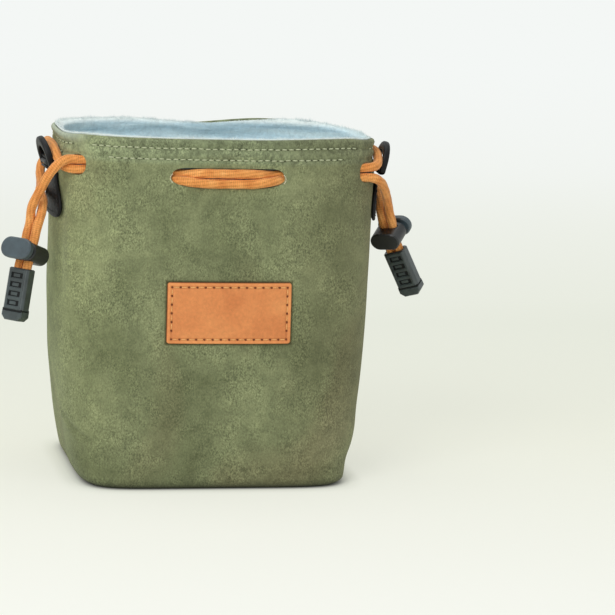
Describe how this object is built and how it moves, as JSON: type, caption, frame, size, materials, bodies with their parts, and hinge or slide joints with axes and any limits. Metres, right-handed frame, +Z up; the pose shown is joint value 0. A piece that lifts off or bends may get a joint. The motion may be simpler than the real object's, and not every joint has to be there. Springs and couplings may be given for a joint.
{
  "type": "camera shoulder bag",
  "caption": "Padded drawstring pouch for a camera, open at the top, with a leather patch, drawcords with sprung locks and cord tips, and a strap ring at each side.",
  "frame": {"origin": "middle of the underside, on the surface the bag stands on", "axes": "+Z up, front (the side with the patch) towards -Y, +X towards the right of the front as it is looked at"},
  "size_m": [0.2073, 0.1, 0.16],
  "materials": {
    "suede_cloth": "mottled olive suede with a short nap",
    "fleece": "pale blue-grey brushed fleece",
    "foam": "plain foam, hidden",
    "board": "plain, hidden",
    "patch_leather": "smooth tan leather",
    "tab_leather": "black, fine grain",
    "braid": "orange-brown braided cord",
    "black_plastic": "moulded, satin",
    "spring_steel": "drawn wire"
  },
  "bodies": {
    "bag": {"outer_front_panel": "suede_cloth", "outer_back_panel": "suede_cloth", "outer_base_panel": "suede_cloth", "base_board": "board", "foam_front_pad": "foam", "foam_back_pad": "foam", "foam_base_pad": "foam", "lining_front_panel": "fleece", "lining_back_panel": "fleece", "lining_base": "fleece", "leather_patch": "patch_leather", "side_tab_left": "tab_leather", "side_tab_right": "tab_leather", "drawcord_left_held": "braid", "drawcord_right_held": "braid", "cord_left_front_end": "braid", "cord_left_back_end": "braid", "cord_right_front_end": "braid", "cord_right_back_end": "braid", "cord_tip_left_shell": "black_plastic", "cord_tip_left_cover": "black_plastic", "cord_tip_right_shell": "black_plastic", "cord_tip_right_cover": "black_plastic"},
    "left_ring": {"side_ring_left": "black_plastic"},
    "right_ring": {"side_ring_right": "black_plastic"},
    "left_lock": {"lock_left_body": "black_plastic", "lock_left_spring": "spring_steel"},
    "left_button": {"lock_left_button": "black_plastic"},
    "right_lock": {"lock_right_body": "black_plastic", "lock_right_spring": "spring_steel"},
    "right_button": {"lock_right_button": "black_plastic"}
  },
  "joints": [
    {"name": "left_ring_swing", "type": "hinge", "parent": "bag", "child": "left_ring", "pos_m": [-0.07864, -0.00822, 0.145], "axis": [0.0761, -0.9971, 0], "range_deg": [-2, 72]},
    {"name": "right_ring_swing", "type": "hinge", "parent": "bag", "child": "right_ring", "pos_m": [0.07864, -0.00822, 0.145], "axis": [0.0761, 0.9971, 0], "range_deg": [0, 77]},
    {"name": "left_lock_slide", "type": "slide", "parent": "bag", "child": "left_lock", "axis": [0.2501, 0.2501, 0.9354], "range_m": [0, 0.008]},
    {"name": "left_button_press", "type": "slide", "parent": "left_lock", "child": "left_button", "axis": [0.6495, 0.6731, -0.3536], "range_m": [0, 0.002], "stiffness_N_per_m": 400, "springref_m": -0.002, "deforming": ["lock_left_spring"]},
    {"name": "right_lock_slide", "type": "slide", "parent": "bag", "child": "right_lock", "axis": [-0.32, -0.25, 0.9139], "range_m": [0, 0.005]},
    {"name": "right_button_press", "type": "slide", "parent": "right_lock", "child": "right_button", "axis": [-0.497, -0.7769, -0.3865], "range_m": [0, 0.002], "stiffness_N_per_m": 400, "springref_m": -0.002, "deforming": ["lock_right_spring"]}
  ]
}
